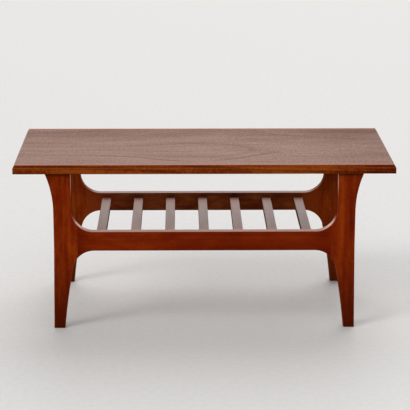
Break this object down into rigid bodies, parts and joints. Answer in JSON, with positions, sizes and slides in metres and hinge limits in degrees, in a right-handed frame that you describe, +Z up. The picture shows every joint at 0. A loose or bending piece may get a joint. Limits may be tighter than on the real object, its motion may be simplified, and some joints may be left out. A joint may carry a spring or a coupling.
{
  "type": "coffee table",
  "caption": "Low rectangular wooden coffee table on two flat leg frames, with an open slatted magazine shelf between the frames.",
  "frame": {"origin": "on the floor, under the middle of the table top", "axes": "+X along the length to the right as seen from the front, +Y from the front to the back, +Z up"},
  "size_m": [1.05, 0.466, 0.473],
  "materials": {
    "top_veneer": "satin oiled teak veneer",
    "backing_veneer": "unfinished balancing veneer",
    "core_board": "blockboard core, raw",
    "lipping": "satin oiled solid teak",
    "leg_wood": "satin oiled solid teak",
    "rail_wood": "satin oiled solid teak",
    "slat_wood": "satin oiled solid teak",
    "bearer_wood": "oiled solid teak",
    "dowel_wood": "raw beech",
    "screw_steel": "plain steel"
  },
  "bodies": {
    "root": {"top_face_veneer": "top_veneer", "top_backing_veneer": "backing_veneer", "top_core": "core_board", "front_lipping": "lipping", "back_lipping": "lipping", "left_lipping": "lipping", "right_lipping": "lipping", "front_left_leg": "leg_wood", "front_right_leg": "leg_wood", "back_left_leg": "leg_wood", "back_right_leg": "leg_wood", "front_rail": "rail_wood", "back_rail": "rail_wood", "left_cross_bearer": "bearer_wood", "right_cross_bearer": "bearer_wood", "rail_dowels": "dowel_wood", "bearer_dowels": "dowel_wood", "top_screws": "screw_steel", "shelf_slat_1": "slat_wood", "shelf_slat_2": "slat_wood", "shelf_slat_3": "slat_wood", "shelf_slat_4": "slat_wood", "shelf_slat_5": "slat_wood", "shelf_slat_6": "slat_wood", "shelf_slat_7": "slat_wood"}
  },
  "joints": []
}
